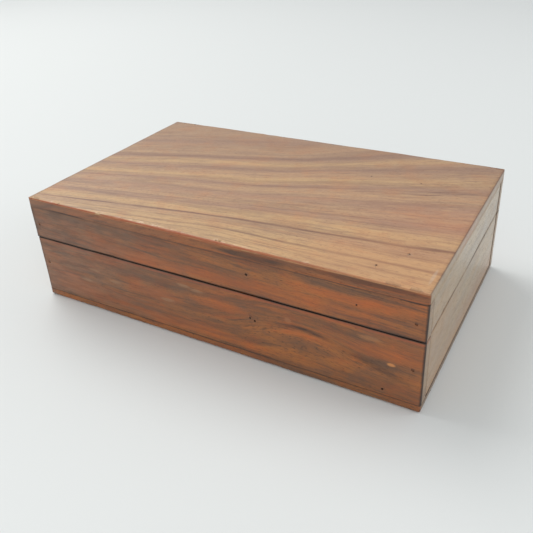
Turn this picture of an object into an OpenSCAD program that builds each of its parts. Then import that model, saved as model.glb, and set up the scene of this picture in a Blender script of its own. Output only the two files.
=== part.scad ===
// Antique glove box: a long flat wooden box with a hinged lid.
// Five boards make the base and five the lid. Two brass butt hinges sit in a
// groove along the back, whose bevelled sides stop the lid just past upright.
// Frame: X along the length to the right, Y to the back, Z up, and the origin on the
// table under the middle of the lid.

/* [Box] */
// Length of the lid
body_l = 305; // [260:1:340]
// Width of the box from front to back
body_w = 188; // [160:1:220]
// Height of the base, its bottom board included
base_h = 52.2; // [44:0.2:70]
// Height of the lid, its top board included
lid_h = 33.4; // [28:0.2:45]
// Gap between the closed lid and the base
lid_gap = 0.4; // [0.3:0.05:0.6]

/* [Boards] */
// Thickness of the front, back and end boards
wall_t = 9; // [8:0.5:12]
// Thickness of the top board
top_t = 8; // [6:0.5:10]
// Thickness of the bottom board
bottom_t = 6; // [5:0.5:9]
// How far the end boards lie back from the ends of the front board
end_set_in = 0.3; // [0.1:0.1:1]
// How far the left end of the base lies back under the lid
base_set_in = 0.8; // [0:0.1:2]

/* [Wear] */
// Rise of the top board's middle over its two ends
top_camber = 0.7; // [0.1:0.1:1.5]
// Hollow in the middle of the lid's front edge
front_hollow = 0.5; // [0.1:0.1:1]
// Radius of the upright corners
corner_r = 1.5; // [0.5:0.1:3]
// Radius of the top board's upper edges
top_edge_r = 1.4; // [0.5:0.1:3]
// Radius of the bottom board's lower edges
bottom_edge_r = 2; // [0.5:0.1:3]
// Radius of the edges on both sides of the gap
rim_edge_r = 0.4; // [0.2:0.1:0.8]
// Radius of the bottom board's upper edge, which shows as a line
joint_edge_r = 0.5; // [0.2:0.1:1]

/* [Hinges] */
// Length of a hinge
hinge_l = 32; // [24:1:40]
// Distance from the end of the lid to the hinge
hinge_inset = 45; // [30:1:60]
// Width of a leaf from the pin's axis to its inner edge
leaf_w = 6; // [5.5:0.1:6.5]
// Thickness of a leaf
leaf_t = 1.1; // [0.9:0.1:1.3]
// Outer radius of the knuckles
knuckle_r = 1.8; // [1.6:0.05:1.9]
// Radius of the hinge pin
pin_r = 0.8; // [0.6:0.05:1]
// Distance from the back of the box to the pin's axis
pin_set_in = 2; // [2:0.1:2.5]
// Running clearance round the pin
pin_clear = 0.05; // [0.03:0.01:0.08]
// Gap between two neighbouring knuckles
knuckle_gap = 0.2; // [0.1:0.05:0.4]
// Clearance round the knuckles in the wood
pocket_clear = 0.25; // [0.15:0.05:0.4]
// Clearance round a leaf in its recess
leaf_clear = 0.1; // [0.05:0.05:0.3]
// How far the lid opens, in degrees
open_angle = 95; // [90:1:105]
// Angle left between the stop faces when the lid is open
stop_clear = 0.5; // [0.3:0.1:1]

/* [Screws and pins] */
// Length of a hinge screw
screw_l = 9; // [6:0.5:12]
// Radius of a hinge screw's shank
screw_r = 0.95; // [0.8:0.05:1.1]
// Radius of a hinge screw's head
screw_head_r = 1.75; // [1.5:0.05:1.8]
// Width of the slot in a screw's head
slot_w = 0.4; // [0.3:0.05:0.6]
// Depth of the slot in a screw's head
slot_d = 0.4; // [0.3:0.05:0.5]
// Clearance round a screw or pin in the wood
bore_clear = 0.05; // [0.03:0.01:0.1]
// Radius of a panel pin's shank
nail_r = 0.7; // [0.5:0.05:0.9]
// Radius of a panel pin's head
nail_head_r = 1; // [0.95:0.05:1.2]
// Thickness of a panel pin's head
nail_head_t = 0.8; // [0.5:0.1:1.2]
// Length of a panel pin
nail_l = 20; // [16:1:24]
// Depth of a panel pin's head below the wood
nail_sunk = 0.5; // [0.3:0.1:1]
// Distance from the end of the front board to its panel pins
nail_from_end = 6.5; // [5:0.5:7]
// Height of the base's corner pins over the bottom board
base_nail_up = 25.5; // [12:0.5:34]
// Height of the lid's corner pins over the lid's lower edge
lid_nail_up = 11.5; // [8:0.5:16]
// Panel pins along each long side of the bottom board
bottom_nails = 3; // [2:1:6]
// Distance from the end of the bottom board to the nearest panel pin along a long side
bottom_nail_inset = 30; // [20:1:50]

/* [Lining] */
// Thickness of the covered cards on the walls
lining_t = 1.8; // [1:0.1:3]
// Clearance round the cards and pads
lining_clear = 0.3; // [0.2:0.1:0.5]
// Distance from the top of the cards to the edge of the box
lining_low = 2.5; // [1:0.5:6]
// Height of the base's pad at its edges
floor_pad_edge = 2.5; // [1:0.5:5]
// Rise of the base's pad in its middle
floor_pad_crown = 2.5; // [1:0.5:5]
// Height of the lid's pad at its edges
lid_pad_edge = 3; // [1:0.5:5]
// Rise of the lid's pad in its middle
lid_pad_crown = 5; // [2:0.5:7]

/* [Hidden] */
$fn = 64;

// Overlap of a cutting tool past the face that it cuts
cut = 1;
// Straight pieces that the long curves are drawn with
bow_steps = 24;
// Knuckles on one hinge: the odd ones are the base leaf's
knuckles = 5;
// Screws in one leaf
leaf_screws = 3;
// Cells of a pad's upper surface along X and Y
pad_cells = [28, 18];
// Power of a pad's crown: the higher, the flatter its middle
crown_power = 4;

x_left = -body_l / 2;
x_right = body_l / 2;
y_front = -body_w / 2;
y_back = body_w / 2;
y_front_in = y_front + wall_t;
y_back_in = y_back - wall_t;

base_x_left = x_left + base_set_in;
lid_z = base_h + lid_gap;
total_h = lid_z + lid_h;
top_z = total_h - top_t;

pin_y = y_back - pin_set_in;
pin_z = base_h + lid_gap / 2;
bevel_angle = (open_angle + stop_clear) / 2;
hinge_x = x_right - hinge_inset - hinge_l / 2;
knuckle_l = hinge_l / knuckles;
pocket_r = knuckle_r + pocket_clear;
screw_y = pin_y - (pocket_r + leaf_w) / 2;
screw_pitch = hinge_l / leaf_screws;
sink_t = screw_head_r - screw_r;

wood = "#7a4a2c";
end_wood = "#8c6a4c";
brass = "#b08d4a";
steel = "#6d6a66";
velvet = "#6b2230";
satin = "#8d3a44";

// Cuts one corner of a rectangle round: p is the corner, and dir points out of it
module corner_cut(p, dir, r) {
    difference() {
        translate([p.x - (dir.x > 0 ? r : cut), p.y - (dir.y > 0 ? r : cut)]) square(r + cut);
        translate(p - r * dir) circle(r);
    }
}

// A rectangle with a radius for each corner: low left, low right, high right, high left
module soft_rect(lo, hi, radii) {
    corners = [[lo.x, lo.y], [hi.x, lo.y], [hi.x, hi.y], [lo.x, hi.y]];
    ways = [[-1, -1], [1, -1], [1, 1], [-1, 1]];
    difference() {
        translate(lo) square(hi - lo);
        for (i = [0:3]) if (radii[i] > 0) corner_cut(corners[i], ways[i], radii[i]);
    }
}

// Extrudes a drawing of the XZ plane from y0 to y1
module along_y(y0, y1) {
    translate([0, y1, 0]) rotate([90, 0, 0]) linear_extrude(y1 - y0) children();
}

// Extrudes a drawing of the YZ plane from x0 to x1
module along_x(x0, x1) {
    translate([x0, 0, 0]) rotate([90, 0, 90]) linear_extrude(x1 - x0) children();
}

// A board between two corners, with its edges rounded as seen from above, the front and the right
module board(lo, hi, plan = [0, 0, 0, 0], front = [0, 0, 0, 0], side = [0, 0, 0, 0]) {
    intersection() {
        translate([0, 0, lo.z]) linear_extrude(hi.z - lo.z)
            soft_rect([lo.x, lo.y], [hi.x, hi.y], plan);
        along_y(lo.y - cut, hi.y + cut) soft_rect([lo.x, lo.z], [hi.x, hi.z], front);
        along_x(lo.x - cut, hi.x + cut) soft_rect([lo.y, lo.z], [hi.y, hi.z], side);
    }
}

// What lies over a long shallow arch: its ends are at z, and its middle is higher by rise
module over_arch(z, rise, top) {
    polygon(concat(
        [for (i = [0:bow_steps]) let (u = 2 * i / bow_steps - 1)
            [u * (body_l / 2 + cut), z + rise * (1 - u * u)]],
        [[body_l / 2 + cut, top], [-body_l / 2 - cut, top]]
    ));
}

// Puts its children at both hinges
module at_hinges() {
    for (side = [-1, 1]) translate([side * hinge_x, 0, 0]) children();
}

// Turns what is made for the base's side of the hinge over to the lid's side
module lid_side() {
    translate([0, 0, 2 * pin_z]) mirror([0, 0, 1]) children();
}

// A bar along the pin's axis, from x0 to x1
module axis_bar(r, x0, x1) {
    translate([x0, pin_y, pin_z]) rotate([0, 90, 0]) cylinder(r = r, h = x1 - x0);
}

// What the base's back board loses along the groove: the bevel that the lid stops against
module stop_bevel() {
    reach = 2 * pin_set_in;
    along_x(x_left - cut, x_right + cut) polygon([
        [pin_y, pin_z],
        [pin_y + reach, pin_z - reach * tan(bevel_angle)],
        [pin_y + reach, pin_z + reach]
    ]);
}

// What the base's back board loses at one hinge: leaf recess, knuckle pocket and screw holes
module hinge_recess() {
    half = hinge_l / 2 + leaf_clear;
    translate([-half, pin_y - leaf_w - leaf_clear, base_h - leaf_t])
        cube([2 * half, leaf_w + leaf_clear, leaf_t + cut]);
    axis_bar(pocket_r, -half, half);
    at_leaf_screws() translate([0, 0, -screw_l - bore_clear])
        cylinder(r = screw_r + bore_clear, h = screw_l + cut);
}

// Puts its children on the base leaf's face at each of its screws
module at_leaf_screws() {
    for (i = [0:leaf_screws - 1])
        translate([(i - (leaf_screws - 1) / 2) * screw_pitch, screw_y, base_h]) children();
}

// One leaf of a hinge, on the base's side: first is its outermost knuckle's number
module leaf(first) {
    own = [for (i = [first:2:knuckles - 1]) i];
    other = [for (i = [1 - first:2:knuckles - 1]) i];
    x0 = -hinge_l / 2;
    color(brass) difference() {
        union() {
            difference() {
                translate([x0, pin_y - leaf_w, base_h - leaf_t]) cube([hinge_l, leaf_w, leaf_t]);
                for (i = other)
                    translate([x0 + i * knuckle_l - knuckle_gap / 2, pin_y - pocket_r, base_h - leaf_t - cut])
                        cube([knuckle_l + knuckle_gap, pocket_r + cut, leaf_t + 2 * cut]);
            }
            for (i = own)
                axis_bar(
                    knuckle_r,
                    x0 + i * knuckle_l + (i > 0 ? knuckle_gap / 2 : 0),
                    x0 + (i + 1) * knuckle_l - (i < knuckles - 1 ? knuckle_gap / 2 : 0)
                );
        }
        axis_bar(pin_r + pin_clear, x0 - cut, -x0 + cut);
        at_leaf_screws() {
            translate([0, 0, -leaf_t - cut]) cylinder(r = screw_r + bore_clear, h = leaf_t + 2 * cut);
            translate([0, 0, -sink_t]) cylinder(
                r1 = screw_r + bore_clear, r2 = screw_head_r + bore_clear + cut, h = sink_t + cut
            );
        }
    }
}

// The pin of a hinge
module hinge_pin() {
    color(steel) axis_bar(pin_r, -hinge_l / 2 + knuckle_gap, hinge_l / 2 - knuckle_gap);
}

// One slotted countersunk screw, with the middle of its head's face at the origin
module screw() {
    tip = 2 * screw_r;
    difference() {
        union() {
            translate([0, 0, -sink_t]) cylinder(r1 = screw_r, r2 = screw_head_r, h = sink_t);
            translate([0, 0, tip - screw_l]) cylinder(r = screw_r, h = screw_l - tip - sink_t);
            translate([0, 0, -screw_l]) cylinder(r1 = screw_r / 4, r2 = screw_r, h = tip);
        }
        translate([-screw_head_r - cut, -slot_w / 2, -slot_d])
            cube([2 * (screw_head_r + cut), slot_w, slot_d + cut]);
    }
}

// The screws of the base's two leaves
module leaf_screw_group() {
    color(brass) at_hinges() at_leaf_screws() screw();
}

// One panel pin along +Y, with the middle of its head's face at the origin
module nail() {
    rotate([-90, 0, 0]) {
        cylinder(r = nail_head_r, h = nail_head_t);
        cylinder(r = nail_r, h = nail_l);
    }
}

// The hole of one panel pin, from the face of the wood at the origin along +Y
module nail_hole() {
    rotate([-90, 0, 0]) {
        translate([0, 0, -cut])
            cylinder(r = nail_head_r + bore_clear, h = nail_sunk + nail_head_t + cut);
        cylinder(r = nail_r + bore_clear, h = nail_sunk + nail_l + bore_clear);
    }
}

// Puts its children on the front and back faces at each corner, pointing into the wood
module at_corners(x0, x1, z) {
    for (x = [x0 + nail_from_end, x1 - nail_from_end], side = [-1, 1])
        translate([x, side * body_w / 2, z]) mirror([0, side > 0 ? 1 : 0, 0]) children();
}

// Puts its children under the bottom board at each of its panel pins, pointing up
module at_bottom_nails() {
    x0 = base_x_left + bottom_nail_inset;
    x1 = x_right - bottom_nail_inset;
    spots = concat(
        [for (i = [0:bottom_nails - 1], side = [-1, 1])
            [x0 + (x1 - x0) * i / (bottom_nails - 1), side * (body_w - wall_t) / 2]],
        [[base_x_left + end_set_in + wall_t / 2, 0], [x_right - end_set_in - wall_t / 2, 0]]
    );
    for (p = spots) translate([p.x, p.y, 0]) rotate([90, 0, 0]) children();
}

// The corner pins between x0 and x1 at height z
module corner_nails(x0, x1, z) {
    color(steel) at_corners(x0, x1, z) translate([0, nail_sunk, 0]) nail();
}

// A pad with a flat underside at lo.z, a straight edge and a crowned face
module pad(lo, hi, edge, crown) {
    nx = pad_cells.x;
    ny = pad_cells.y;
    function swell(i, n) = 1 - pow(abs(2 * i / n - 1), crown_power);
    function at(i, j) = [lo.x + (hi.x - lo.x) * i / nx, lo.y + (hi.y - lo.y) * j / ny];
    function top_id(i, j) = i * (ny + 1) + j;
    upper = [for (i = [0:nx], j = [0:ny])
        concat(at(i, j), lo.z + edge + crown * swell(i, nx) * swell(j, ny))];
    rim_ids = concat(
        [for (i = [0:nx - 1]) top_id(i, 0)], [for (j = [0:ny - 1]) top_id(nx, j)],
        [for (i = [nx:-1:1]) top_id(i, ny)], [for (j = [ny:-1:1]) top_id(0, j)]
    );
    count = len(rim_ids);
    under = len(upper);
    middle = under + count;
    lower = concat(
        [for (id = rim_ids) [upper[id].x, upper[id].y, lo.z]],
        [[(lo.x + hi.x) / 2, (lo.y + hi.y) / 2, lo.z]]
    );
    faces = concat(
        [for (i = [0:nx - 1], j = [0:ny - 1]) [top_id(i, j), top_id(i, j + 1), top_id(i + 1, j + 1)]],
        [for (i = [0:nx - 1], j = [0:ny - 1]) [top_id(i, j), top_id(i + 1, j + 1), top_id(i + 1, j)]],
        [for (k = [0:count - 1]) [rim_ids[k], rim_ids[(k + 1) % count], under + (k + 1) % count, under + k]],
        [for (k = [0:count - 1]) [under + k, under + (k + 1) % count, middle]]
    );
    polyhedron(concat(upper, lower), faces);
}

// A long board of the base or the lid, at the front: z0 and z1 are its lower and upper edges
module long_board(x0, x1, z0, z1, low_r, high_r) {
    board(
        [x0, y_front, z0], [x1, y_front_in, z1],
        plan = [corner_r, corner_r, 0, 0],
        front = [low_r, low_r, high_r, high_r],
        side = [low_r, 0, 0, high_r]
    );
}

// An end board between the long boards: outer is its outer face, and way points out of the box
module end_board(outer, way, z0, z1, low_r, high_r) {
    inner = outer - way * wall_t;
    front = way > 0 ? [0, low_r, high_r, 0] : [low_r, 0, 0, high_r];
    board([min(outer, inner), y_front_in, z0], [max(outer, inner), y_back_in, z1], front = front);
}

// The covered card on a wall, with its free edge rounded: the upper one, or the lower one in the lid
module card(lo, hi) {
    r = lining_t / 3;
    radii = lo.z > base_h ? [r, r, 0, 0] : [0, 0, r, r];
    color(velvet) board(lo, hi, front = radii, side = radii);
}

module base_bottom() {
    lower = [bottom_edge_r, bottom_edge_r, joint_edge_r, joint_edge_r];
    color(wood) difference() {
        board(
            [base_x_left, y_front, 0], [x_right, y_back, bottom_t],
            plan = [corner_r, corner_r, corner_r, corner_r], front = lower, side = lower
        );
        at_bottom_nails() nail_hole();
    }
}

module base_front() {
    color(wood) difference() {
        long_board(base_x_left, x_right, bottom_t, base_h, 0, rim_edge_r);
        at_corners(base_x_left, x_right, bottom_t + base_nail_up) nail_hole();
        at_bottom_nails() nail_hole();
    }
}

module base_back() {
    color(wood) difference() {
        mirror([0, 1, 0]) long_board(base_x_left, x_right, bottom_t, base_h, 0, 0);
        stop_bevel();
        at_hinges() hinge_recess();
        at_corners(base_x_left, x_right, bottom_t + base_nail_up) nail_hole();
        at_bottom_nails() nail_hole();
    }
}

module base_end(outer, way) {
    color(end_wood) difference() {
        end_board(outer, way, bottom_t, base_h, 0, rim_edge_r);
        at_corners(base_x_left, x_right, bottom_t + base_nail_up) nail_hole();
        at_bottom_nails() nail_hole();
    }
}

module base_left_end() { base_end(base_x_left + end_set_in, -1); }
module base_right_end() { base_end(x_right - end_set_in, 1); }

module lid_top() {
    upper = [0, 0, top_edge_r, top_edge_r];
    color(wood) difference() {
        board(
            [x_left, y_front, top_z], [x_right, y_back, total_h],
            plan = [corner_r, corner_r, corner_r, corner_r], front = upper, side = upper
        );
        along_y(y_front - cut, y_back + cut) over_arch(total_h - top_camber, top_camber, total_h + cut);
    }
}

module lid_front() {
    color(wood) difference() {
        long_board(x_left, x_right, lid_z, top_z, rim_edge_r, 0);
        along_y(y_front - cut, y_front_in + cut) difference() {
            translate([x_left, lid_z - cut]) square([body_l, cut + front_hollow]);
            over_arch(lid_z, front_hollow, lid_z + 2 * cut + front_hollow);
        }
        at_corners(x_left, x_right, lid_z + lid_nail_up) nail_hole();
    }
}

module lid_back() {
    color(wood) difference() {
        mirror([0, 1, 0]) long_board(x_left, x_right, lid_z, top_z, 0, 0);
        lid_side() stop_bevel();
        lid_side() at_hinges() hinge_recess();
        at_corners(x_left, x_right, lid_z + lid_nail_up) nail_hole();
    }
}

module lid_end(outer, way) {
    color(end_wood) difference() {
        end_board(outer, way, lid_z, top_z, rim_edge_r, 0);
        at_corners(x_left, x_right, lid_z + lid_nail_up) nail_hole();
    }
}

module lid_left_end() { lid_end(x_left + end_set_in, -1); }
module lid_right_end() { lid_end(x_right - end_set_in, 1); }

module left_hinge_base_leaf() { translate([-hinge_x, 0, 0]) leaf(0); }
module right_hinge_base_leaf() { translate([hinge_x, 0, 0]) leaf(0); }
module left_hinge_lid_leaf() { lid_side() translate([-hinge_x, 0, 0]) leaf(1); }
module right_hinge_lid_leaf() { lid_side() translate([hinge_x, 0, 0]) leaf(1); }
module left_hinge_pin() { translate([-hinge_x, 0, 0]) hinge_pin(); }
module right_hinge_pin() { translate([hinge_x, 0, 0]) hinge_pin(); }

module base_hinge_screws() { leaf_screw_group(); }
module lid_hinge_screws() { lid_side() leaf_screw_group(); }

module base_corner_pins() { corner_nails(base_x_left, x_right, bottom_t + base_nail_up); }
module lid_corner_pins() { corner_nails(x_left, x_right, lid_z + lid_nail_up); }
module bottom_pins() {
    color(steel) at_bottom_nails() translate([0, nail_sunk, 0]) nail();
}

// Inner faces of the end boards, and the edges of the cards and pads
base_in = [base_x_left + end_set_in + wall_t, x_right - end_set_in - wall_t];
lid_in = [x_left + end_set_in + wall_t, x_right - end_set_in - wall_t];
card_y = [y_front_in + lining_t, y_back_in - lining_t];
pad_y = [card_y[0] + lining_clear, card_y[1] - lining_clear];
base_card_z = [bottom_t, base_h - lining_low];
lid_card_z = [lid_z + lining_low, top_z];

// The card on the front wall, or mirrored on the back wall
module long_card(span, z) {
    card([span[0] + lining_clear, y_front_in, z[0]], [span[1] - lining_clear, card_y[0], z[1]]);
}

// The card on an end wall: wall is the wall's face, and way points into the box
module end_card(wall, way, z) {
    x = [wall, wall + way * lining_t];
    card([min(x), pad_y[0], z[0]], [max(x), pad_y[1], z[1]]);
}

module base_front_lining() { long_card(base_in, base_card_z); }
module base_back_lining() { mirror([0, 1, 0]) long_card(base_in, base_card_z); }
module base_left_lining() { end_card(base_in[0], 1, base_card_z); }
module base_right_lining() { end_card(base_in[1], -1, base_card_z); }
module lid_front_lining() { long_card(lid_in, lid_card_z); }
module lid_back_lining() { mirror([0, 1, 0]) long_card(lid_in, lid_card_z); }
module lid_left_lining() { end_card(lid_in[0], 1, lid_card_z); }
module lid_right_lining() { end_card(lid_in[1], -1, lid_card_z); }

module base_floor_pad() {
    margin = lining_t + lining_clear;
    color(velvet) pad(
        [base_in[0] + margin, pad_y[0], bottom_t], [base_in[1] - margin, pad_y[1]],
        floor_pad_edge, floor_pad_crown
    );
}

module lid_pad() {
    margin = lining_t + lining_clear;
    color(satin) translate([0, 0, top_z]) mirror([0, 0, 1]) pad(
        [lid_in[0] + margin, pad_y[0], 0], [lid_in[1] - margin, pad_y[1]],
        lid_pad_edge, lid_pad_crown
    );
}

base_bottom();
base_front();
base_back();
base_left_end();
base_right_end();
lid_top();
lid_front();
lid_back();
lid_left_end();
lid_right_end();
left_hinge_base_leaf();
left_hinge_lid_leaf();
left_hinge_pin();
right_hinge_base_leaf();
right_hinge_lid_leaf();
right_hinge_pin();
base_hinge_screws();
lid_hinge_screws();
base_corner_pins();
lid_corner_pins();
bottom_pins();
base_floor_pad();
base_front_lining();
base_back_lining();
base_left_lining();
base_right_lining();
lid_pad();
lid_front_lining();
lid_back_lining();
lid_left_lining();
lid_right_lining();
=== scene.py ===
"""Looks of the antique glove box: worn polished hardwood, old brass hinges, velvet and satin lining.

Everything is in metres in the row frame: +X to the right along the box, -Y out of its front, +Z up.
"""

import math

import bmesh
import bpy
from mathutils import Matrix, Vector, noise


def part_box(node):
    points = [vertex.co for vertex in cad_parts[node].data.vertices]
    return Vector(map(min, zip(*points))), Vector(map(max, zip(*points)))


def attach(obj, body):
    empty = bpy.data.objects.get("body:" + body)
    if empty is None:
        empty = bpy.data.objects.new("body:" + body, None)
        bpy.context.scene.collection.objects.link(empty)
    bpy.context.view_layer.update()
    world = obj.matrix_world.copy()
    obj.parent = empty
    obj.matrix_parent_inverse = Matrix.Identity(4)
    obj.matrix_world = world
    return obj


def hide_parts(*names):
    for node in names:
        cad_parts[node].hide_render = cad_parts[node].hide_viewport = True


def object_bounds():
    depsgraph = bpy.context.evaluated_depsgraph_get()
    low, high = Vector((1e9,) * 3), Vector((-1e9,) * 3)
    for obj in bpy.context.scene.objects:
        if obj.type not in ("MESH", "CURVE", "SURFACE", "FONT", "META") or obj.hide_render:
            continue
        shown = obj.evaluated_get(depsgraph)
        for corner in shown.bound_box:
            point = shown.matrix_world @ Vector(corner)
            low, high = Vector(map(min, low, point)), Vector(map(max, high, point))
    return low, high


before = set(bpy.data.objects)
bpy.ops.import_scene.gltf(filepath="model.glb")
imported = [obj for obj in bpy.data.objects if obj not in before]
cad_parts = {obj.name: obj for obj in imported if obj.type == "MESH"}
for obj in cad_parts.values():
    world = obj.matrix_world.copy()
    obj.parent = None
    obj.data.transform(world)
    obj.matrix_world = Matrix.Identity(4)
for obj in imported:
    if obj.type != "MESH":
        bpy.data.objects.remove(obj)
cad_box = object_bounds()

MM = 0.001
LO = Vector(cad_box[0])
HI = Vector(cad_box[1])

# Heights of the joints that show: over the bottom board, at both rims, and under the top board
FLOOR_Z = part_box("base_bottom")[1].z
BASE_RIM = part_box("base_front")[1].z
LID_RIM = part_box("lid_front")[0].z
UNDER_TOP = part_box("lid_top")[0].z


def srgb(red, green, blue):
    """A colour given by its sRGB bytes, as linear light with alpha."""

    def linear(byte):
        c = byte / 255
        return c / 12.92 if c <= 0.04045 else ((c + 0.055) / 1.055) ** 2.4

    return (linear(red), linear(green), linear(blue), 1.0)


# The node graph of a material

class Graph:
    """The nodes of one material. Every value is a socket, a number or a colour."""

    def __init__(self, name):
        self.material = bpy.data.materials.new(name)
        self.material.use_nodes = True
        self.nodes = self.material.node_tree.nodes
        self.links = self.material.node_tree.links
        self.shader = self.nodes["Principled BSDF"]
        place = self.nodes.new("ShaderNodeTexCoord").outputs["Object"]
        split = self.nodes.new("ShaderNodeSeparateXYZ")
        self.links.new(place, split.inputs[0])
        self.xyz = dict(zip("xyz", split.outputs))

    def put(self, value, socket):
        if isinstance(value, bpy.types.NodeSocket):
            self.links.new(value, socket)
        else:
            socket.default_value = value

    def math(self, operation, *values):
        node = self.nodes.new("ShaderNodeMath")
        node.operation = operation
        for value, socket in zip(values, node.inputs):
            self.put(value, socket)
        return node.outputs[0]

    def add(self, first, *rest):
        for value in rest:
            first = self.math("ADD", first, value)
        return first

    def times(self, first, *rest):
        for value in rest:
            first = self.math("MULTIPLY", first, value)
        return first

    def minus(self, first, second):
        return self.math("SUBTRACT", first, second)

    def over(self, first, second):
        return self.math("DIVIDE", first, second)

    def least(self, *values):
        least = values[0]
        for value in values[1:]:
            least = self.math("MINIMUM", least, value)
        return least

    def point(self, x, y, z):
        node = self.nodes.new("ShaderNodeCombineXYZ")
        for value, socket in zip((x, y, z), node.inputs):
            self.put(value, socket)
        return node.outputs[0]

    def noise(self, point, detail=3.0, roughness=0.55):
        """Smooth noise round 0.5, with a cell of one unit of point."""
        node = self.nodes.new("ShaderNodeTexNoise")
        self.put(point, node.inputs["Vector"])
        self.put(1.0, node.inputs["Scale"])
        self.put(detail, node.inputs["Detail"])
        self.put(roughness, node.inputs["Roughness"])
        return node.outputs["Fac"]

    def cloud(self, size, shift=0.0, detail=3.0):
        """Noise in the frame, with cells of size metres: one number, or one for each axis."""
        sizes = size if isinstance(size, tuple) else (size, size, size)
        x, y, z = [self.over(self.xyz[a], s) for a, s in zip("xyz", sizes)]
        return self.noise(self.point(x, y, self.add(z, shift)), detail)

    def span(self, value, low, high, to_low=0.0, to_high=1.0):
        """Maps low..high smoothly to to_low..to_high and stops at both ends."""
        node = self.nodes.new("ShaderNodeMapRange")
        node.interpolation_type = "SMOOTHSTEP"
        for data, socket in zip((value, low, high, to_low, to_high), node.inputs):
            self.put(data, socket)
        return node.outputs[0]

    def mix(self, amount, first, second, blend="MIX"):
        node = self.nodes.new("ShaderNodeMix")
        node.data_type = "RGBA"
        node.blend_type = blend
        self.put(amount, node.inputs[0])
        self.put(first, node.inputs[6])
        self.put(second, node.inputs[7])
        return node.outputs[2]

    def tint(self, amount, colour, by):
        """A colour multiplied by another."""
        return self.mix(amount, colour, by, "MULTIPLY")

    def ramp(self, value, low, high, stops):
        """A colour from stops, which are pairs of a value between low and high and a colour."""
        node = self.nodes.new("ShaderNodeValToRGB")
        node.color_ramp.interpolation = "EASE"
        elements = node.color_ramp.elements
        while len(elements) < len(stops):
            elements.new(1.0)
        for element, (place, colour) in zip(elements, stops):
            element.position = (place - low) / (high - low)
            element.color = colour
        self.put(self.over(self.minus(value, low), high - low), node.inputs[0])
        return node.outputs[0]

    def bump(self, height, distance, under=None):
        """A bump of height 0..1 that stands distance metres tall."""
        node = self.nodes.new("ShaderNodeBump")
        self.put(1.0, node.inputs["Strength"])
        self.put(distance, node.inputs["Distance"])
        self.put(height, node.inputs["Height"])
        if under is not None:
            self.put(under, node.inputs["Normal"])
        return node.outputs[0]

    def finish(self, **sockets):
        for name, value in sockets.items():
            self.put(value, self.shader.inputs[name.replace("_", " ")])
        return self.material


def bell(g, value, centre, width):
    """1 at centre, falling to 0 at width on both sides."""
    return g.span(g.math("ABSOLUTE", g.minus(value, centre)), 0.0, width, 1.0, 0.0)


def side_distance(g, box, axis):
    """Distance from the nearer of a box's two sides across one axis."""
    i = "xyz".index(axis)
    low = g.minus(g.xyz[axis], box[0][i])
    high = g.minus(box[1][i], g.xyz[axis])
    return g.math("ABSOLUTE", g.least(low, high))


def edge_distance(g, box):
    """Distance from the nearest edge of a box, for a point on its surface."""
    a, b, c = [side_distance(g, box, axis) for axis in "xyz"]
    return g.math("MAXIMUM", g.least(a, b), g.least(g.math("MAXIMUM", a, b), c))


# The wood

WOOD = [
    "base_bottom", "base_front", "base_back", "base_left_end", "base_right_end",
    "lid_top", "lid_front", "lid_back", "lid_left_end", "lid_right_end",
]

# Colours of the sun-bleached top, of the darker sides, of the ends, which are paled as a painted sheen, and
# of the bottom board
TOP_TONES = dict(
    gold=srgb(197, 159, 112), mid=srgb(181, 144, 108), mauve=srgb(164, 128, 102),
    dark=srgb(128, 96, 76), line=srgb(98, 62, 48), orange=srgb(186, 126, 82),
)
SIDE_TONES = dict(
    gold=srgb(166, 102, 50), mid=srgb(148, 88, 46), mauve=srgb(118, 84, 62),
    dark=srgb(88, 65, 50), line=srgb(38, 28, 23), orange=srgb(186, 96, 40),
)
SHEEN_END_TONES = dict(
    gold=srgb(170, 146, 112), mid=srgb(158, 136, 108), mauve=srgb(144, 128, 108),
    dark=srgb(122, 104, 86), line=srgb(64, 50, 40), orange=srgb(166, 130, 90),
)
BOTTOM_TONES = dict(
    SIDE_TONES, gold=srgb(176, 108, 42), mid=srgb(150, 84, 36), orange=srgb(178, 92, 34),
)

# What multiplies the pale end colour where the painted sheen is not wanted
OFF_SHEEN_TINT = (0.85, 0.42, 0.22, 1.0)

# The top board's slow bands, as place and tone, and its single lines, as place, half width and strength.
# Places are in millimetres on its middle line.
TOP_BANDS = (
    (-96, "gold"), (-74, "gold"), (-65, "mid"), (-56, "gold"), (-44, "mauve"), (-36, "mid"),
    (-25, "mauve"), (-15, "mid"), (-6, "mauve"), (4, "gold"), (14, "mid"), (24, "mauve"),
    (35, "gold"), (47, "mauve"), (58, "mid"), (72, "mid"), (90, "mauve"), (110, "mid"),
)
TOP_LINES = (
    (-83.0, 1.0, 0.30), (-77.5, 1.5, 0.60), (-70.0, 0.9, 0.30), (-62.3, 1.9, 0.85), (-51.0, 0.6, 0.25),
    (-46.5, 0.8, 0.35), (-41.5, 0.8, 0.35), (-34.0, 0.8, 0.25), (-22.0, 1.2, 0.20), (-6.5, 1.6, 0.34),
    (1.0, 3.0, 0.18), (13.0, 1.4, 0.16), (24.0, 2.4, 0.22), (46.5, 2.4, 0.24), (49.5, 6.0, 0.30),
)

# How finely the upright boards are cut up to be worn, by axis and in millimetres
LONG_STEPS = (("x", 4.0), ("z", 6.0))
END_STEPS = (("y", 4.0), ("z", 6.0))

# Old flight holes, by their place on the face and their radius in millimetres
TOP_HOLES = ((115.5, -77.7, 0.6), (128.7, -57.7, 0.5), (66.6, 41.0, 0.5), (104.0, 43.0, 0.5))
LID_HOLES = ((36.3, 67.4, 0.8), (110.4, 66.4, 0.5))
BASE_HOLES = ((37.0, 34.4, 0.6), (40.5, 33.1, 0.7), (128.4, 10.2, 0.7))


def wander(g, u, v, w, length, rise, seed):
    """A slow wander of the grain, of about rise metres over length metres along it."""
    wave = g.noise(g.point(g.over(u, length), g.over(v, 0.4 * length), g.add(g.over(w, length), seed)), 2.0)
    return g.times(g.minus(wave, 0.5), 2 * rise)


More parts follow.
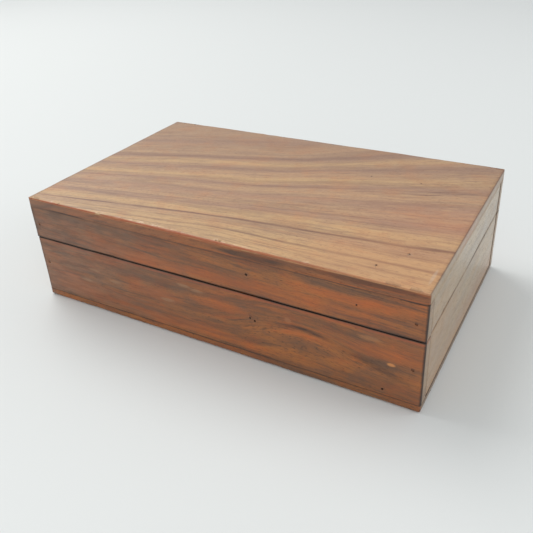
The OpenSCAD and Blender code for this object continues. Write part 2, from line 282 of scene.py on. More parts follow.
def top_field(g, u, v, w):
    """Grain of the top board: its lines climb to the back, and fan out to the right."""
    left_slope, right_slope = 0.235, 0.36
    left_fan, right_fan = 1.3, 4.2
    right = g.span(u, -0.06, 0.06)
    slope = g.span(right, 0.0, 1.0, left_slope, right_slope)
    fan = g.span(right, 0.0, 1.0, left_fan, right_fan)
    straight = g.over(g.minus(v, g.times(u, slope)), g.add(g.times(u, fan), 1.0))
    return g.add(straight, wander(g, u, v, w, 0.09, 0.0022, 3.0), g.times(g.minus(w, HI.z), 0.4))


def knot_arch(g, u):
    """Height in metres of the streak that arches over the knot of the base's front."""
    middle, spread, rise = 0.073, 0.050, 0.018
    across = g.over(g.minus(u, middle), spread)
    return g.times(g.math("EXPONENT", g.times(across, across, -1.0)), rise)


def base_front_field(g, u, v, w):
    """Grain of the base's front: streaks that arch over a knot near its right end and part round it."""
    arch = knot_arch(g, u)
    over = g.times(arch, bell(g, v, 0.032, 0.036), 0.55)
    parted = g.times(arch, g.span(v, 0.014, 0.040, -1.0, 1.0), bell(g, v, 0.027, 0.036), 0.22)
    return g.add(g.minus(g.minus(v, over), parted), wander(g, u, v, w, 0.06, 0.002, 11.0),
                 g.times(g.minus(w, LO.y), 0.5))


def level_field(g, u, v, w):
    """Level grain with a slow wander, for every other board."""
    return g.add(v, g.times(u, 0.03), wander(g, u, v, w, 0.07, 0.002, 23.0), g.times(w, 0.5))


def streaked(g, colour, tones, figure, layers):
    """Mixes a board's streaks in, from the broadest to the finest, each where its noise is high or low."""
    blotch, cloudy, streak, patch, fine, dash, hair = layers
    for layer, none, full, strength, tone in (
        (blotch, 0.48, 0.68, 0.60 * figure, "orange"), (blotch, 0.48, 0.30, 0.55 * figure, "mauve"),
        (cloudy, 0.44, 0.72, 0.66 * figure, "dark"), (cloudy, 0.50, 0.28, 0.36 * figure, "orange"),
        (streak, 0.48, 0.74, 0.66 * figure, "dark"), (streak, 0.46, 0.28, 0.40 * figure, "orange"),
        (patch, 0.54, 0.78, 0.34 * figure, "dark"), (patch, 0.44, 0.26, 0.30 * figure, "gold"),
        (fine, 0.53, 0.72, 0.60, "dark"), (fine, 0.47, 0.28, 0.50, "gold"),
        (dash, 0.60, 0.76, 0.42, "line"), (hair, 0.54, 0.78, 0.36, "line"),
    ):
        colour = g.mix(g.span(layer, none, full, 0.0, strength), colour, tones[tone])
    return colour


def end_grain(g, grain, v, w):
    """Sawn end grain, paler towards the right of the box as a painted sheen."""
    rings = g.noise(g.point(g.over(grain, 0.0012), g.over(v, 0.005), g.over(w, 0.003)), 3.0)
    sawn = g.mix(g.span(rings, 0.35, 0.65), SHEEN_END_TONES["mid"], SHEEN_END_TONES["mauve"])
    # Painted sheen: the end grain stays pale at the right and is tinted darker towards the left
    return g.tint(g.span(g.xyz["x"], -0.10, 0.10, 0.55, 0.0), sawn, OFF_SHEEN_TINT)


def wood(node, along, across, tones, field, seed=0.0, bands=(), lines=(),
         figure=1.0, dirty=0.7, coat=0.1, marks=None):
    """Old polished hardwood for one board. along and across name the axes of its grain and its width.

    bands are (place, tone), and lines are (place, half width, strength), in millimetres in the field.
    figure is the strength of its streaks, dirty that of its dark edges, and marks adds what is its own.
    """
    g = Graph(node + "_wood")
    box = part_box(node)
    depth = ({"x", "y", "z"} - {along, across}).pop()
    u, v, w = g.xyz[along], g.xyz[across], g.xyz[depth]
    grain = field(g, u, v, w)

    def fibres(wide, long, shift, detail=3.0):
        """Noise in streaks of wide by long millimetres along the grain."""
        deep = g.add(g.over(w, 6 * wide * MM), seed + shift)
        return g.noise(g.point(g.over(u, long * MM), g.over(grain, wide * MM), deep), detail, 0.6)

    broad = fibres(14.0, 120.0, 1.0, 2.0)
    cloudy = fibres(8.0, 70.0, 7.0, 4.0)
    streak = fibres(2.4, 60.0, 2.0)
    patch = fibres(3.6, 24.0, 6.0, 4.0)
    fine = fibres(0.9, 18.0, 3.0)
    dash = fibres(0.8, 7.0, 8.0, 2.0)
    hair = fibres(0.3, 5.0, 4.0, 2.0)
    pore = g.span(fibres(0.35, 2.6, 5.0, 0.0), 0.66, 0.76)
    blotch = g.cloud((0.020, 0.020, 0.014), seed, 4.0)

    if bands:
        shifted = g.add(grain, g.times(g.minus(broad, 0.5), 12 * MM))
        stops = [(place * MM, tones[tone]) for place, tone in bands]
        colour = g.ramp(shifted, stops[0][0], stops[-1][0], stops)
    else:
        colour = g.mix(g.span(broad, 0.38, 0.62), tones["mid"], tones["gold"])
    colour = streaked(g, colour, tones, figure, (blotch, cloudy, streak, patch, fine, dash, hair))
    for place, width, strength in lines:
        broken = g.span(streak, 0.30, 0.60, 0.45 * strength, strength)
        line = g.times(bell(g, grain, place * MM, width * MM), broken)
        colour = g.mix(line, colour, tones["line"])
    colour = g.mix(g.times(pore, g.span(broad, 0.3, 0.7, 0.2, 0.55)), colour, tones["line"])

    end = g.span(side_distance(g, box, along), 0.1 * MM, 0.4 * MM, 1.0, 0.0)
    colour = g.mix(g.times(end, 0.85), colour, end_grain(g, grain, v, w))

    edge = edge_distance(g, box)
    ragged = g.times(g.minus(g.cloud(0.004, seed, 3.0), 0.5), 1.4 * MM)
    dirt = g.span(g.add(edge, ragged), 0.1 * MM, 0.9 * MM, dirty, 0.0)
    colour = g.mix(dirt, colour, tones["line"])
    if marks:
        colour = marks(g, colour, tones)
    rubbed = g.span(edge, 0.5 * MM, 3.0 * MM, 0.18, 0.0)
    rough = g.add(0.36, g.times(g.minus(blotch, 0.5), 0.20), g.times(g.minus(fine, 0.5), 0.16),
                  g.times(pore, 0.15), rubbed)
    height = g.minus(g.add(g.times(fine, 0.5), g.times(hair, 0.5)), pore)
    wave = g.bump(g.cloud(0.020, seed, 1.0), 0.12 * MM)
    return g.finish(
        Base_Color=colour, Roughness=rough, Normal=g.bump(height, 0.045 * MM, wave), IOR=1.5,
        Coat_Weight=coat, Coat_Roughness=0.2, Coat_IOR=1.5,
    )


def dab(g, colour, tone, u, v, centre, size, strength, broken=0.0):
    """Mixes a soft oval spot of tone in: centre and half size are in millimetres in the plane of u and v.

    broken, from 0, breaks its outline up with streaky noise.
    """
    across = g.over(g.minus(u, centre[0] * MM), size[0] * MM)
    along = g.over(g.minus(v, centre[1] * MM), size[1] * MM)
    away = g.add(g.times(across, across), g.times(along, along))
    if broken:
        streaks = g.cloud((0.010, 0.010, 0.0016), centre[0], 4.0)
        away = g.add(away, g.times(g.minus(streaks, 0.45), 12.0 * broken))
    return g.mix(g.span(away, 0.2, 1.6, strength, 0.0), colour, tone)


def top_side(g, colour):
    """The top board's unfaded colour where it shows above the front, with its dark streaks."""
    x, z = g.xyz["x"], g.xyz["z"]
    dark, line, orange = SIDE_TONES["dark"], SIDE_TONES["line"], SIDE_TONES["orange"]
    patch = g.cloud((0.050, 0.050, 0.006), 4.0, 4.0)
    level = g.cloud((0.030, 0.030, 0.0016), 8.0)
    side = g.tint(1.0, colour, (0.62, 0.35, 0.19, 1.0))
    side = g.mix(g.span(patch, 0.56, 0.34, 0.0, 0.6), side, dark)
    side = g.mix(g.span(level, 0.48, 0.68, 0.0, 0.5), side, orange)
    side = g.mix(g.span(x, 0.05, -0.15, 0.0, 0.40), side, srgb(116, 93, 78))
    side = dab(g, side, line, x, z, (-118.0, 78.4), (20.0, 1.0), 0.8, 0.1)
    side = dab(g, side, line, x, z, (42.0, 81.5), (26.0, 3.0), 0.6, 0.15)
    side = dab(g, side, line, x, z, (118.0, 83.0), (40.0, 2.2), 0.6, 0.15)
    joint = g.times(g.span(z, UNDER_TOP + 0.5 * MM, UNDER_TOP), g.span(x, -0.13, 0.0, 0.3, 0.8))
    return g.mix(joint, side, line)


def top_marks(g, colour, tones):
    """Streaks and rubs on the lid's top, a painted red highlight along its front arris, a painted pale
    highlight at its front right corner, and painted shade on its underside inside.
    """
    x, y, z = [g.xyz[a] for a in "xyz"]
    colour = g.mix(g.span(y, -0.01, 0.085, 0.0, 0.30), colour, tones["dark"])
    straight = g.minus(y, g.times(g.minus(x, 0.120), 0.40))
    for centre, size, strength in (
        ((95, 29.5), (13, 0.7), 0.45), ((114, 28.0), (11, 0.9), 0.60), ((121, 33.0), (9, 0.8), 0.50),
        ((131, 29.5), (8, 0.7), 0.40), ((139, 31.0), (10, 0.8), 0.50), ((127, 36.5), (6, 0.9), 0.40),
        ((104, 24.0), (9, 0.6), 0.30), ((110, 42.0), (16, 2.6), 0.20), ((74, 33.0), (12, 1.6), 0.22),
    ):
        colour = dab(g, colour, tones["line"], x, straight, centre, size, strength, 0.12)
    redder = g.times(g.span(x, 0.06, 0.13), bell(g, y, -0.012, 0.040), 0.35)
    colour = g.mix(redder, colour, srgb(170, 112, 84))
    sun = g.span(g.minus(HI.x, x), 0.2 * MM, 1.2 * MM, 0.0, 0.34)
    colour = dab(g, colour, srgb(186, 128, 88), x, y, (130.0, -74.0), (66.0, 34.0), sun, 0.1)
    # Painted pale highlight at the front right corner
    colour = dab(g, colour, srgb(196, 184, 170), x, y, (148.5, -76.0), (1.0, 9.0), 0.25, 0.2)
    below = g.span(z, HI.z - 1.9 * MM, HI.z - 1.2 * MM, 1.0, 0.0)
    facing = g.span(g.least(g.minus(y, LO.y), g.minus(HI.y, y)), 1.4 * MM, 2.2 * MM, 1.0, 0.0)
    colour = g.mix(g.times(below, facing), colour, top_side(g, colour))
    # Painted red highlight along the front arris, strongest to the left
    ragged = g.times(g.minus(g.cloud(0.010, 5.0, 3.0), 0.5), 0.7 * MM)
    arris = bell(g, g.add(g.minus(y, LO.y), g.minus(HI.z, z), ragged), 1.1 * MM, 0.8 * MM)
    colour = g.mix(g.times(arris, g.span(x, 0.02, 0.13, 0.85, 0.35)), colour, srgb(156, 70, 30))
    ends = g.least(g.minus(x, LO.x), g.minus(HI.x, x), g.minus(HI.y, y))
    dirt = g.times(g.span(ends, 0.2 * MM, 1.1 * MM, 0.6, 0.0), g.minus(1.0, below))
    colour = g.mix(dirt, colour, tones["line"])
    # Painted shade on the underside inside the lid, where it shows in the crevice round the pad
    inside = g.times(g.span(ends, 7 * MM, 8 * MM), g.span(z, UNDER_TOP + 0.4 * MM, UNDER_TOP + 0.1 * MM))
    return hollow(g, g.mix(inside, colour, tones["line"]), x, y, TOP_HOLES)


def on_front(g, deep):
    """1 on the front of the box and down to deep millimetres behind it, and 0 further in."""
    return g.span(g.minus(g.xyz["y"], LO.y), deep * MM, (deep + 0.8) * MM, 1.0, 0.0)


def front_patina(g, colour):
    """Greyer polish to the left, painted shade on the rounded corner at the left end of a front board, and
    a dark line along its right arris.
    """
    x = g.xyz["x"]
    cloudy = g.cloud((0.018, 0.018, 0.004), 3.0, 4.0)
    bloom = g.mix(g.span(cloudy, 0.38, 0.62), srgb(94, 76, 64), srgb(136, 108, 88))
    colour = g.mix(g.span(x, 0.05, -0.15, 0.0, 0.42), colour, bloom)
    ragged = g.times(g.minus(g.cloud(0.006, 2.0, 3.0), 0.5), 2.0 * MM)
    # Painted shade on the rounded corner at the left end, and a dark line along the right arris
    left = g.span(g.add(g.minus(x, LO.x), ragged), 0.5 * MM, 5.0 * MM, 0.6, 0.0)
    right = g.span(g.add(g.minus(HI.x, x), g.times(ragged, 0.5)), 0.4 * MM, 1.8 * MM, 0.9, 0.0)
    return g.mix(g.times(g.math("MAXIMUM", left, right), on_front(g, 1.4)), colour, SIDE_TONES["line"])


def hollow(g, colour, u, v, places):
    """Dust and painted shade inside the flight holes: a dark dab in each."""
    dust_and_shade = srgb(40, 29, 24)
    for place_u, place_v, radius in places:
        size = (1.3 * radius, 1.3 * radius)
        colour = dab(g, colour, dust_and_shade, u, v, (place_u, place_v), size, 0.8)
    return colour


def clouds(g, colour, tones, places):
    """Broken clouds on a front board, each given by its tone, middle, half size and strength."""
    x, z = g.xyz["x"], g.xyz["z"]
    for tone, centre, size, strength in places:
        wide = (1.2 * size[0], 1.1 * size[1])
        colour = dab(g, colour, tones[tone], x, z, centre, wide, 0.85 * strength, 0.22)
    return colour


def lid_front_marks(g, colour, tones):
    """The clouds of the lid's front, darkest along its top, and painted shade along its lower edge at the
    gap over the base.
    """
    x, z = g.xyz["x"], g.xyz["z"]
    colour = clouds(g, colour, tones, (
        ("dark", (-62, 75.0), (52, 3.4), 0.60), ("dark", (-128, 72.0), (24, 5.0), 0.45),
        ("dark", (45, 76.5), (26, 2.6), 0.70), ("dark", (112, 74.0), (40, 2.6), 0.40),
        ("dark", (6, 66.0), (26, 3.0), 0.35), ("orange", (-40, 58.5), (60, 4.0), 0.45),
        ("orange", (66, 59.0), (62, 5.0), 0.40), ("orange", (100, 69.0), (34, 3.0), 0.40),
    ))
    colour = front_patina(g, colour)
    colour = dab(g, colour, tones["line"], x, z, (144.0, 77.6), (8.0, 0.5), 0.8)
    # Painted shade along the gap between lid and base
    painted_gap_shade = g.times(bell(g, z, LID_RIM + 0.2 * MM, 1.5 * MM), on_front(g, 1.0))
    colour = g.mix(painted_gap_shade, colour, tones["line"])
    return hollow(g, colour, x, z, LID_HOLES)


def base_front_marks(g, colour, tones):
    """The knot, clouds and pale rubs of the base's front, a reddish band along its rim, and painted shade
    along its top edge at the gap under the lid.
    """
    x, z = g.xyz["x"], g.xyz["z"]
    colour = clouds(g, colour, tones, (
        ("dark", (-54, 43.0), (46, 4.4), 0.60), ("dark", (-104, 36.0), (26, 5.0), 0.45),
        ("dark", (30, 43.5), (22, 3.6), 0.50), ("dark", (82, 44.5), (30, 3.0), 0.50),
        ("dark", (74, 25.0), (22, 4.5), 0.50), ("dark", (16, 20.0), (30, 5.0), 0.40),
        ("dark", (130, 12.0), (30, 5.0), 0.50), ("orange", (-44, 31.0), (20, 4.5), 0.40),
        ("orange", (-122, 18.0), (24, 8.0), 0.35), ("orange", (14, 37.0), (20, 3.6), 0.40),
        ("orange", (128, 37.0), (22, 4.6), 0.35), ("orange", (-10, 12.0), (50, 4.0), 0.35),
    ))
    over_knot = g.minus(z, g.add(knot_arch(g, x), 0.0195))
    torn = g.span(g.cloud((0.014, 0.014, 0.003), 6.0, 3.0), 0.32, 0.60, 0.55, 1.0)
    crown = g.times(bell(g, over_knot, 0.0, 2.8 * MM), bell(g, x, 0.076, 0.032), 0.85)
    sweep = g.times(bell(g, over_knot, -0.5 * MM, 4.6 * MM), bell(g, x, 0.122, 0.034), 0.65)
    colour = g.mix(g.times(g.math("MAXIMUM", crown, sweep), torn), colour, tones["line"])
    inner = g.times(bell(g, over_knot, -3.8 * MM, 2.4 * MM), bell(g, x, 0.078, 0.024), torn, 0.70)
    colour = g.mix(inner, colour, tones["orange"])
    pale = srgb(176, 136, 98)
    for centre in ((-15.5, 45), (-4.8, 43.5), (-30.7, 29), (-107, 25), (-79, 31), (-98, 36)):
        colour = dab(g, colour, pale, x, z, centre, (6.0, 1.4), 0.45, 0.25)
    colour = dab(g, colour, srgb(214, 140, 76), x, z, (133.0, 30.5), (2.6, 1.2), 0.8, 0.08)
    colour = dab(g, colour, srgb(186, 130, 82), x, z, (118.5, 45.3), (8.0, 2.0), 0.38, 0.25)
    colour = dab(g, colour, srgb(176, 118, 76), x, z, (65.0, 41.5), (2.4, 2.4), 0.40, 0.25)
    red_rim = g.times(bell(g, z, BASE_RIM - 1.4 * MM, 1.3 * MM), 0.55)
    colour = g.mix(red_rim, colour, srgb(162, 84, 56))
    # Painted shade along the gap under the lid
    painted_gap_shade = g.times(g.span(z, BASE_RIM - 0.8 * MM, BASE_RIM - 0.2 * MM, 0.0, 0.9), on_front(g, 0.8))
    colour = g.mix(painted_gap_shade, colour, tones["line"])
    return hollow(g, front_patina(g, colour), x, z, BASE_HOLES)


def dice(mesh, axis, step):
    """Cuts a mesh with planes across one axis, step metres apart."""
    i = "xyz".index(axis)
    normal = Vector([float(k == i) for k in range(3)])
    low = min(v.co[i] for v in mesh.verts)
    high = max(v.co[i] for v in mesh.verts)
    count = max(1, round((high - low) / step))
    for k in range(1, count):
        at = normal * (low + (high - low) * k / count)
        geometry = mesh.verts[:] + mesh.edges[:] + mesh.faces[:]
        bmesh.ops.bisect_plane(mesh, geom=geometry, plane_co=at, plane_no=normal, dist=1e-6)


def body_box(body):
    """The lowest and highest corners of the wood of one body."""
    boxes = [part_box(node) for node in WOOD if node.startswith(body)]
    low = Vector([min(b[0][i] for b in boxes) for i in range(3)])
    high = Vector([max(b[1][i] for b in boxes) for i in range(3)])
    return low, high


def worn_depth(place, box, seed, chips):
    """How far age has worn the wood back at a place, in metres: most at the edges of the body."""
    reach = sorted(min(abs(place[i] - box[0][i]), abs(box[1][i] - place[i])) for i in range(3))
    edge = math.exp(-(reach[1] / (1.8 * MM)) ** 2)
    slow = noise.noise(place / 0.022 + Vector((seed, 0, 0)))
    quick = noise.noise(place / 0.005 + Vector((0, seed, 0)))
    depth = edge * MM * max(0.0, 0.16 + 0.22 * slow + 0.10 * quick)
    nick = max(0.0, noise.noise(place / 0.009 + Vector((0, 0, seed))) - 0.42)
    depth += edge * 0.9 * MM * nick
    for centre, size, deep in chips:
        depth += deep * MM * math.exp(-((place - Vector(centre)).length / (size * MM)) ** 2)
    return depth


def worn_board(node, steps, material, chips=()):
    """Replaces a board by one with the same shape whose edges have worn."""
    mesh = bmesh.new()
    mesh.from_mesh(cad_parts[node].data)
    bmesh.ops.remove_doubles(mesh, verts=mesh.verts[:], dist=1e-6)
    bmesh.ops.dissolve_limit(mesh, angle_limit=math.radians(0.2), verts=mesh.verts[:], edges=mesh.edges[:])
    for axis, step in steps:
        dice(mesh, axis, step * MM)
    mesh.normal_update()
    box = body_box(node[:3])
    seed = WOOD.index(node) * 7.3
    moves = [(v, v.normal * worn_depth(v.co, box, seed, chips)) for v in mesh.verts]
    for vertex, move in moves:
        vertex.co -= move
    piece = new_piece(node + "_worn", mesh, material)
    piece.data.shade_smooth()
    piece.data.set_sharp_from_angle(angle=math.radians(35))
    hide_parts(node)
    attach(piece, node.split("_")[0])
    return piece


def drill(piece, axis, places):
    """Cuts slightly oval, tapering flight holes into a board, down from its top or in from its front."""
    deep = 3 * MM
    taper = 0.8
    cutter = bmesh.new()
    for u, v, radius in places:
        middle = Vector((u * MM, v * MM, HI.z)) if axis == "z" else Vector((u * MM, LO.y, v * MM))
        turn = Matrix.Rotation(math.radians(90 if axis == "y" else 180), 4, "X")
        stretch = Matrix.Diagonal((1.0, 1.12, 1.0, 1.0))
        bmesh.ops.create_cone(
            cutter, cap_ends=True, segments=12, radius1=radius * MM, radius2=taper * radius * MM,
            depth=2 * deep, matrix=Matrix.Translation(middle) @ turn @ stretch,
        )
    tool = new_piece(piece.name + "_drill", cutter, piece.data.materials[0])
    holes = piece.modifiers.new("holes", "BOOLEAN")
    holes.operation = "DIFFERENCE"
    holes.solver = "EXACT"
    holes.object = tool
    settle(piece)
    bpy.data.objects.remove(tool)
    piece.data.set_sharp_from_angle(angle=math.radians(35))


def settle(piece):
    """Applies a piece's modifiers to its mesh."""
    seen = piece.evaluated_get(bpy.context.evaluated_depsgraph_get())
    data = bpy.data.meshes.new_from_object(seen)
    piece.modifiers.clear()
    piece.data = data


def new_piece(name, mesh, material):
    """Makes an object from a bmesh, which it frees."""
    data = bpy.data.meshes.new(name)
    mesh.to_mesh(data)
    mesh.free()
    piece = bpy.data.objects.new(name, data)
    piece.data.materials.append(material)
    bpy.context.scene.collection.objects.link(piece)
    return piece


def dress(node, material):
    """Gives a CAD node its material."""
    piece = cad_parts[node]
    piece.data.materials.clear()
    piece.data.materials.append(material)


def end_marks(g, colour, tones):
    """An end board is paled outside as a painted sheen, most at the right, and warmer tan towards its
    bottom and its front, where the painted sheen is weaker.
    """
    y, z = g.xyz["y"], g.xyz["z"]
    # Warmer tan low down and towards the front, where the painted sheen is weaker
    low = g.span(z, 0.034, 0.002, 0.0, 0.75)
    near = g.times(g.span(y, 0.0, LO.y, 0.0, 0.45), g.span(z, 0.080, 0.045))
    colour = g.mix(g.math("MAXIMUM", low, near), colour, srgb(168, 124, 82))
    # Painted sheen: the outside stays pale, most at the right, and the rest is tinted darker
    outside = g.span(side_distance(g, (LO, HI), "x"), 1.0 * MM, 2.5 * MM, 1.0, 0.0)
    painted_sheen = g.times(outside, g.span(g.xyz["x"], -0.10, 0.10, 0.45, 1.0))
    return g.tint(g.minus(1.0, painted_sheen), colour, OFF_SHEEN_TINT)


def bottom_marks(g, colour, tones):
    """The bottom board is darker towards the right, and its top face is painted dark as shade where it
    shows in the crevice round the lining.
    """
    colour = g.mix(g.span(g.xyz["x"], -0.08, 0.14, 0.10, 0.45), colour, tones["dark"])
    # Painted shade over the top face, seen in the crevice round the floor pad
    return g.mix(g.span(g.xyz["z"], FLOOR_Z - 0.4 * MM, FLOOR_Z - 0.1 * MM), colour, tones["line"])


def top_board():
    """The lid's top, with its four flight holes and the chip in its front arris."""
    material = wood(
        "lid_top", "x", "y", TOP_TONES, top_field, 2.0, TOP_BANDS, TOP_LINES,
        figure=0.65, dirty=0.0, coat=0.15, marks=top_marks,
    )
    chip = ((-0.083, LO.y, HI.z - 0.5 * MM), 1.6, 0.9)
    drill(worn_board("lid_top", (("x", 3.0), ("y", 4.0), ("z", 2.7)), material, (chip,)), "z", TOP_HOLES)


def front_boards():
    for node, field, seed, dirty, marks, holes in (
        ("lid_front", level_field, 9.0, 0.5, lid_front_marks, LID_HOLES),
        ("base_front", base_front_field, 14.0, 0.4, base_front_marks, BASE_HOLES),
    ):
        material = wood(node, "x", "z", SIDE_TONES, field, seed, dirty=dirty, marks=marks)
        drill(worn_board(node, LONG_STEPS, material), "y", holes)


def end_boards():
    for node, seed in (
        ("lid_left_end", 31.0), ("lid_right_end", 35.0),
        ("base_left_end", 41.0), ("base_right_end", 44.0),
    ):
        material = wood(node, "y", "z", SHEEN_END_TONES, level_field, seed, figure=0.7, coat=0.4, marks=end_marks)
        worn_board(node, END_STEPS, material)


def back_boards():
    for node, seed in (("lid_back", 21.0), ("base_back", 27.0)):
        worn_board(node, LONG_STEPS, wood(node, "x", "z", SIDE_TONES, level_field, seed, figure=0.75))


def bottom_board():
    node = "base_bottom"
    material = wood(node, "x", "y", BOTTOM_TONES, level_field, 51.0, dirty=0.8, marks=bottom_marks)
    worn_board(node, (("x", 4.0), ("y", 6.0)), material)


# The fittings and the lining

def metal(name, colour, dark, rough):
    """Dull old metal with darker tarnish in patches."""
    g = Graph(name)
    patches = g.cloud(0.004, 0.0, 4.0)
    tint = g.mix(g.span(patches, 0.40, 0.70), colour, dark)
    return g.finish(
        Base_Color=tint, Metallic=1.0, Roughness=g.add(g.times(patches, 0.25), rough),
        Normal=g.bump(g.cloud(0.0006, 0.0, 2.0), 0.03 * MM),
    )


def stopping():
    """Brown wax over the sunk heads of the corner pins, darker where the polish is."""
    g = Graph("wax_stopping")
    tint = g.mix(g.span(g.xyz["x"], -0.10, 0.10), srgb(134, 100, 80), srgb(116, 78, 56))
    specks = g.span(g.cloud(0.0008), 0.3, 0.7, 0.0, 0.3)
    return g.finish(Base_Color=g.mix(specks, tint, srgb(92, 64, 50)), Roughness=0.6)


def velvet(name, colour, worn):
    """Short cotton velvet: a deep colour with a pale sheen and brushed patches."""
    g = Graph(name)
    pile = g.cloud(0.0005, 0.0, 2.0)
    tint = g.mix(g.span(g.cloud(0.018), 0.35, 0.72), colour, worn)
    tint = g.mix(g.span(pile, 0.40, 0.65, 0.0, 0.35), tint, srgb(38, 10, 14))
    return g.finish(
        Base_Color=tint, Roughness=0.95, Specular_IOR_Level=0.15,
        Sheen_Weight=0.55, Sheen_Roughness=0.35, Sheen_Tint=srgb(214, 140, 140),
        Normal=g.bump(pile, 0.25 * MM),
    )


def satin(name, colour, worn):
    """Silk satin with fine threads across the box."""
    g = Graph(name)
    thread = g.cloud((0.0003, 0.004, 1.0), 0.0, 2.0)
    return g.finish(
        Base_Color=g.mix(g.span(g.cloud(0.05), 0.35, 0.70), colour, worn), Roughness=0.30,
        Specular_IOR_Level=0.7, Sheen_Weight=0.15, Sheen_Roughness=0.3, Normal=g.bump(thread, 0.03 * MM),
    )


def fittings():
    brass = metal("old_brass", srgb(176, 142, 82), srgb(104, 80, 48), 0.28)
    steel = metal("dull_steel", srgb(104, 84, 70), srgb(66, 46, 36), 0.45)
    for side in ("left", "right"):
        dress(side + "_hinge_base_leaf", brass)
        dress(side + "_hinge_lid_leaf", brass)
        dress(side + "_hinge_pin", steel)
    for node in ("base_hinge_screws", "lid_hinge_screws"):
        dress(node, brass)
    dress("bottom_pins", steel)
    for node in ("base_corner_pins", "lid_corner_pins"):
        dress(node, stopping())


def crowned_form(node, crown, edge):
    """A closed form of square cells in a node's space, crowned on one side, with its sides pulled in.

    Its first half of points lies on its flat back, and its rim stands edge millimetres tall.
    """
    low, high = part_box(node)
    back, top = (low.z, high.z) if crown > 0 else (high.z, low.z)
    cell = 4.0 * MM
    pulled = 0.9 * MM
    nx, ny = round((high.x - low.x) / cell), round((high.y - low.y) / cell)
    middle, half = (low + high) / 2, (high - low) / 2
    height = abs(top - back) - 0.3 * MM

    def place(i, j, lift):
        u, v = 2 * i / nx - 1, 2 * j / ny - 1
        sides = 1 - lift * (pulled / half.x) * (1 - v ** 4), 1 - lift * (pulled / half.y) * (1 - u ** 4)
        full = (1 - u ** 4) * (1 - v ** 4)
        rim = edge * MM
        rise = rim * min(1.0, 0.35 + 30 * (1 - max(abs(u), abs(v)))) + (height - rim) * full ** 0.8
        x, y = middle.x + half.x * u * sides[0], middle.y + half.y * v * sides[1]
        return Vector((x, y, back + math.copysign(rise * lift, crown)))

    mesh = bmesh.new()
    grids = [
        [[mesh.verts.new(place(i, j, lift)) for j in range(ny + 1)] for i in range(nx + 1)]
        for lift in (0, 1)
    ]
    for grid, flip in zip(grids, (crown > 0, crown < 0)):
        for i in range(nx):
            for j in range(ny):
                ring = [grid[i][j], grid[i + 1][j], grid[i + 1][j + 1], grid[i][j + 1]]
                mesh.faces.new(ring[::-1] if flip else ring)
    rim = [(i, 0) for i in range(nx)] + [(nx, j) for j in range(ny)]
    rim += [(i, ny) for i in range(nx, 0, -1)] + [(0, j) for j in range(ny, 0, -1)]
    for (i, j), (k, m) in zip(rim, rim[1:] + rim[:1]):
        mesh.faces.new((grids[0][i][j], grids[0][k][m], grids[1][k][m], grids[1][i][j]))
    bmesh.ops.recalc_face_normals(mesh, faces=mesh.faces[:])
    return mesh


def stuffed(node, crown, edge, material, puffed, slack):
    """A stuffed pad in the space of its CAD solid: a cloth that swells from a crowned form and puckers.

    crown is 1 for the floor's pad, which rises, and -1 for the lid's. puffed is the most that the cloth may
    move, in millimetres, and slack is how much longer the cloth is than the form.
    """
    low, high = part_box(node)
    mesh = crowned_form(node, crown, edge)
    count = len(mesh.verts) // 2
    piece = new_piece(node + "_stuffed", mesh, material)
    swell(piece, range(count), puffed * MM, slack)
    for vertex in piece.data.vertices:
        vertex.co = Vector([min(max(c, a), b) for c, a, b in zip(vertex.co, low, high)])
    piece.data.shade_smooth()
    smooth = piece.modifiers.new("smooth", "SUBSURF")
    smooth.levels = smooth.render_levels = 1
    settle(piece)
    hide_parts(node)
    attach(piece, node.split("_")[0])
    return piece


def swell(piece, glued, most, slack):
    """Lets a pad swell as cloth under pressure while its glued points hold, and caps how far it moves."""
    last = 20
    start = [v.co.copy() for v in piece.data.vertices]
    group = piece.vertex_groups.new(name="glued")
    group.add(list(glued), 1.0, "REPLACE")
    cloth = piece.modifiers.new("cloth", "CLOTH")
    cloth.settings.quality = 5
    cloth.settings.mass = 0.2
    cloth.settings.use_pressure = True
    cloth.settings.uniform_pressure_force = 3.0
    cloth.settings.shrink_min = -slack
    cloth.settings.bending_stiffness = 0.05
    cloth.settings.vertex_group_mass = group.name
    cloth.settings.effector_weights.gravity = 0.0
    cloth.point_cache.frame_start = 1
    cloth.point_cache.frame_end = last
    scene = bpy.context.scene
    for step in range(1, last + 1):
        scene.frame_set(step)
    settle(piece)
    scene.frame_set(1)
    piece.vertex_groups.clear()
    for vertex, before in zip(piece.data.vertices, start):
        move = vertex.co - before
        if move.length > most:
            vertex.co = before + move * (most / move.length)


def covered_card(node, material):
    """A card with velvet drawn over thin wadding: soft edges, and a face that isn't quite flat."""
    low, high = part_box(node)
    mesh = bmesh.new()
    bmesh.ops.create_cube(mesh, size=1.0)
    inset = 0.15 * MM
    middle = (low + high) / 2
    size = high - low - Vector((2 * inset,) * 3)
    for vertex in mesh.verts:
        vertex.co = middle + vertex.co * size
    bmesh.ops.bevel(mesh, geom=mesh.edges[:], offset=0.6 * MM, segments=3, profile=0.6, affect="EDGES")
    thin = min((0, 1), key=lambda k: high[k] - low[k])
    for axis in "xyz":
        if axis != "xyz"[thin]:
            dice(mesh, axis, 5 * MM)
    mesh.normal_update()
    inward = 1.0 if (low[thin] + high[thin]) < 0 else -1.0
    for vertex in mesh.verts:
        face = max(0.0, vertex.normal[thin] * inward)
        wave = noise.noise(vertex.co / 0.030) + 0.5 * noise.noise(vertex.co / 0.011)
        vertex.co[thin] -= inward * face * 0.12 * MM * (1 + wave)
    piece = new_piece(node + "_covered", mesh, material)
    piece.data.shade_smooth()
    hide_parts(node)
    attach(piece, node.split("_")[0])
    return piece


def lining():
    cloth = velvet("claret_velvet", srgb(104, 26, 36), srgb(128, 44, 50))
    silk = satin("claret_satin", srgb(150, 62, 68), srgb(168, 84, 84))
    for part in ("base", "lid"):
        for side in ("front", "back", "left", "right"):
            covered_card(part + "_" + side + "_lining", cloth)
    stuffed("base_floor_pad", 1, 2.5, cloth, 1.2, 0.015)
    stuffed("lid_pad", -1, 3.0, silk, 2.0, 0.05)


# The stage

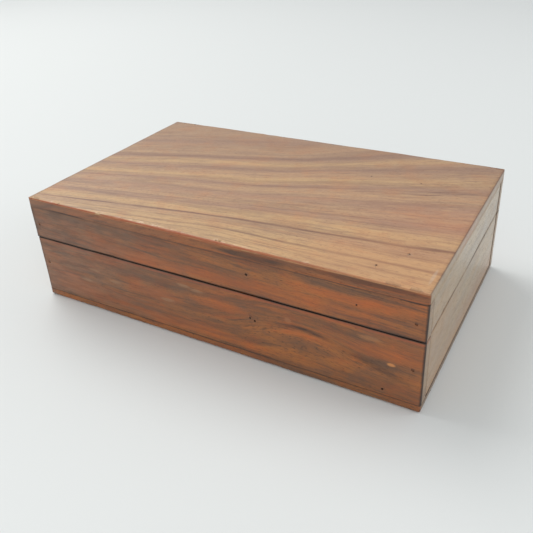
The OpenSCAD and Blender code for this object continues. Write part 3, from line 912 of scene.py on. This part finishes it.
def camera():
    """The photograph's camera, fitted to the corners of the box in a square frame."""
    image_px = 533
    focal_px = 639.6
    centre_row_px = 245.4
    azimuth, elevation, roll = (math.radians(a) for a in (30.83, 29.18, -3.06))
    ahead = Vector((-math.sin(azimuth) * math.cos(elevation),
                    math.cos(azimuth) * math.cos(elevation), -math.sin(elevation)))
    right = ahead.cross(Vector((0, 0, 1))).normalized()
    up = right.cross(ahead)
    turned_right = right * math.cos(roll) + up * math.sin(roll)
    turned_up = up * math.cos(roll) - right * math.sin(roll)
    data = bpy.data.cameras.new("camera")
    data.sensor_width = 36.0
    data.lens = data.sensor_width * focal_px / image_px
    data.shift_y = (centre_row_px - image_px / 2) / image_px
    body = bpy.data.objects.new("camera", data)
    bpy.context.scene.collection.objects.link(body)
    turn = Matrix((turned_right, turned_up, -ahead)).transposed().to_4x4()
    place = (0.2230, -0.3799, 0.2781)
    body.matrix_world = Matrix.Translation(place) @ turn
    bpy.context.scene.camera = body


def area_light(name, place, size, power, colour=(1.0, 1.0, 1.0)):
    """A round lamp that faces the middle of the box."""
    data = bpy.data.lights.new(name, "AREA")
    data.shape = "DISK"
    data.size = size
    data.energy = power
    data.color = colour
    lamp = bpy.data.objects.new(name, data)
    bpy.context.scene.collection.objects.link(lamp)
    lamp.location = place
    lamp.rotation_euler = (Vector((0, 0, 0.05)) - Vector(place)).to_track_quat("-Z", "Y").to_euler()


def lights():
    area_light("window", (-1.5, 0.45, 1.9), 2.0, 35.0, (1.0, 0.985, 0.96))
    area_light("room", (0.9, -1.3, 1.2), 1.6, 9.0)
    area_light("side", (1.6, 0.7, 0.8), 1.2, 7.0, (0.97, 0.985, 1.0))
    world = bpy.data.worlds.new("studio")
    bpy.context.scene.world = world
    world.use_nodes = True
    background = world.node_tree.nodes["Background"]
    background.inputs["Color"].default_value = (0.93, 0.95, 0.97, 1.0)
    background.inputs["Strength"].default_value = 0.60


def floor():
    size = 6.0
    mesh = bpy.data.meshes.new("floor")
    corners = [(-size, -size, 0), (size, -size, 0), (size, size, 0), (-size, size, 0)]
    mesh.from_pydata(corners, [], [(0, 1, 2, 3)])
    ground = bpy.data.objects.new("floor", mesh)
    bpy.context.scene.collection.objects.link(ground)
    ground.data.materials.append(Graph("pale_floor").finish(Base_Color=srgb(217, 220, 219), Roughness=0.6))


def main():
    camera()
    lights()
    floor()
    top_board()
    front_boards()
    end_boards()
    back_boards()
    bottom_board()
    fittings()
    lining()
    bpy.context.scene.view_settings.view_transform = "Standard"


main()
